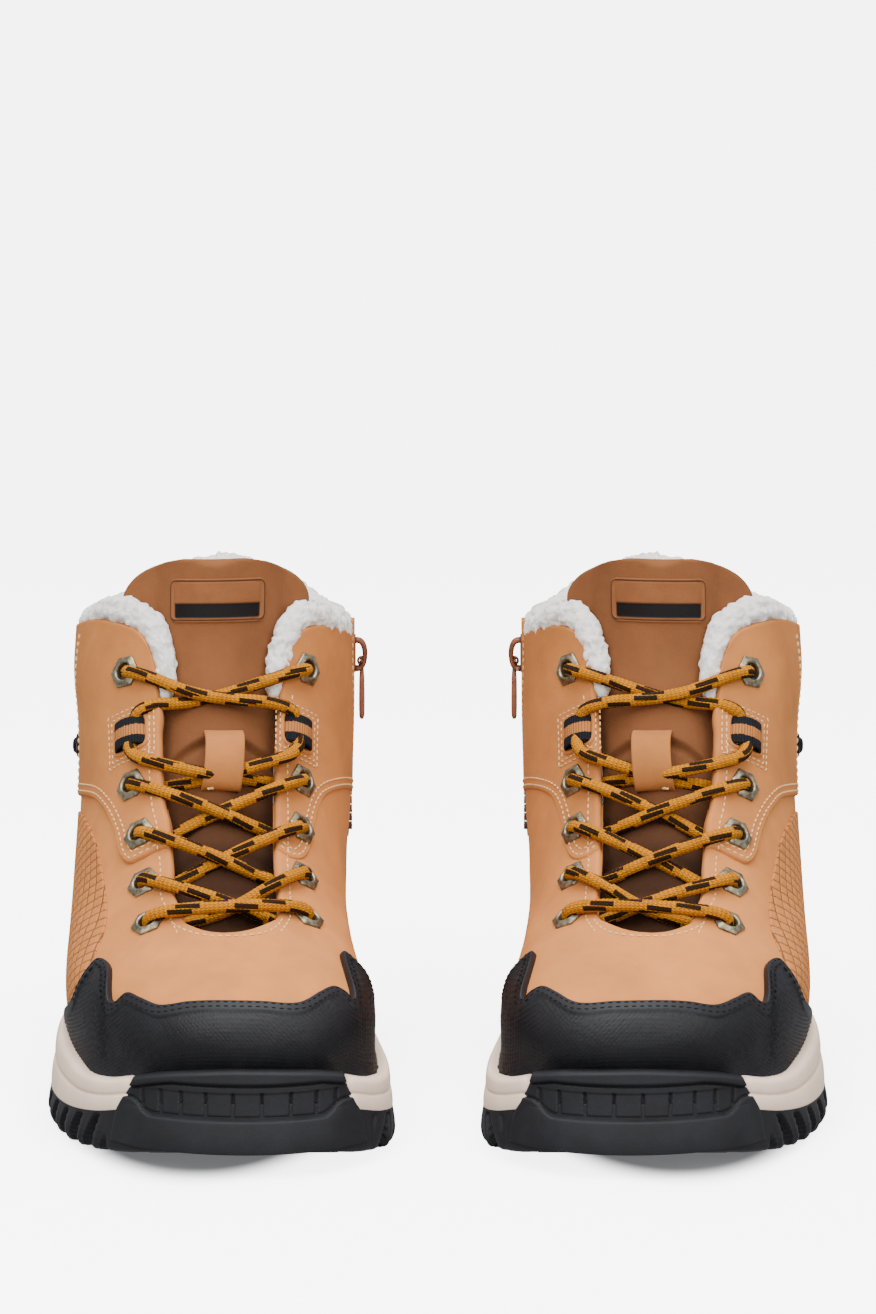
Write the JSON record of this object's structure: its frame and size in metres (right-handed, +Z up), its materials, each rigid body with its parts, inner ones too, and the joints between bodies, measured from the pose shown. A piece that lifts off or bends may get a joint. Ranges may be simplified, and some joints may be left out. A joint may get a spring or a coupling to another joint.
{
  "type": "pair of insulated lace-up boots",
  "caption": "Pair of fleece-lined lace-up ankle boots with rubber toe guards, lugged soles, lace loops and an inner side zip on each.",
  "frame": {"origin": "on the floor at the bottom centre of the pair, midway between the two boots", "axes": "+Z up, toes toward -Y, the right boot on the -X side and the left boot on the +X side"},
  "size_m": [0.2852, 0.3068, 0.1983],
  "materials": {
    "black_rubber": "matte moulded rubber",
    "beige_foam": "matte foam",
    "steel": "plain",
    "fibre_board": "plain board",
    "footbed_foam": "napped fabric over foam",
    "tan_nubuck": "nubuck",
    "embossed_nubuck": "nubuck embossed with a diamond grid",
    "guard_rubber": "textured rubber",
    "stiffener": "plain",
    "fleece": "pile fleece",
    "tongue_nubuck": "nubuck",
    "patch_leather": "smooth leather",
    "antique_metal": "antique, satin",
    "webbing": "woven",
    "lace_cord": "braided, with dark flecks",
    "clear_plastic": "gloss",
    "zip_fabric": "woven tape",
    "zip_plastic": "satin",
    "zip_metal": "satin paint",
    "pull_leather": "glossy coated leather"
  },
  "bodies": {
    "right_boot": {"right_outsole": "black_rubber", "right_midsole": "beige_foam", "right_shank": "steel", "right_insole_board": "fibre_board", "right_footbed": "footbed_foam", "right_vamp": "tan_nubuck", "right_quarter_lateral": "tan_nubuck", "right_quarter_medial": "tan_nubuck", "right_backstay": "tan_nubuck", "right_toe_guard": "guard_rubber", "right_toe_puff": "stiffener", "right_heel_counter": "stiffener", "right_ankle_overlay": "tan_nubuck", "right_lateral_panel": "embossed_nubuck", "right_lining": "fleece", "right_collar_roll": "fleece", "right_tongue": "tongue_nubuck", "right_tongue_padding": "fleece", "right_tongue_patch": "patch_leather", "right_lace_keeper": "tan_nubuck", "right_eyelets": "antique_metal", "right_lace_loops": "webbing", "right_lace": "lace_cord", "right_aglets": "clear_plastic", "right_zip_tape": "zip_fabric", "right_zip_teeth": "zip_plastic", "right_ankle_stud": "antique_metal"},
    "right_zip_slider": {"right_zip_slider": "zip_metal"},
    "right_zip_pull": {"right_zip_pull": "pull_leather"},
    "left_boot": {"left_outsole": "black_rubber", "left_midsole": "beige_foam", "left_shank": "steel", "left_insole_board": "fibre_board", "left_footbed": "footbed_foam", "left_vamp": "tan_nubuck", "left_quarter_lateral": "tan_nubuck", "left_quarter_medial": "tan_nubuck", "left_backstay": "tan_nubuck", "left_toe_guard": "guard_rubber", "left_toe_puff": "stiffener", "left_heel_counter": "stiffener", "left_ankle_overlay": "tan_nubuck", "left_lateral_panel": "embossed_nubuck", "left_lining": "fleece", "left_collar_roll": "fleece", "left_tongue": "tongue_nubuck", "left_tongue_padding": "fleece", "left_tongue_patch": "patch_leather", "left_lace_keeper": "tan_nubuck", "left_eyelets": "antique_metal", "left_lace_loops": "webbing", "left_lace": "lace_cord", "left_aglets": "clear_plastic", "left_zip_tape": "zip_fabric", "left_zip_teeth": "zip_plastic", "left_ankle_stud": "antique_metal"},
    "left_zip_slider": {"left_zip_slider": "zip_metal"},
    "left_zip_pull": {"left_zip_pull": "pull_leather"}
  },
  "joints": [
    {"name": "right_zip_slide", "type": "slide", "parent": "right_boot", "child": "right_zip_slider", "axis": [0, 0, -1], "range_m": [0, 0.06]},
    {"name": "right_zip_pull_hinge", "type": "hinge", "parent": "right_zip_slider", "child": "right_zip_pull", "pos_m": [-0.02995, 0.057, 0.153], "axis": [0, -1, 0], "range_deg": [0, 150]},
    {"name": "left_zip_slide", "type": "slide", "parent": "left_boot", "child": "left_zip_slider", "axis": [0, 0, -1], "range_m": [0, 0.06]},
    {"name": "left_zip_pull_hinge", "type": "hinge", "parent": "left_zip_slider", "child": "left_zip_pull", "pos_m": [0.02995, 0.057, 0.153], "axis": [0, 1, 0], "range_deg": [0, 150]},
    {"name": "left_boot_lift", "type": "slide", "parent": "right_boot", "child": "left_boot", "axis": [0, 0, 1], "range_m": [0, 0.25]}
  ]
}
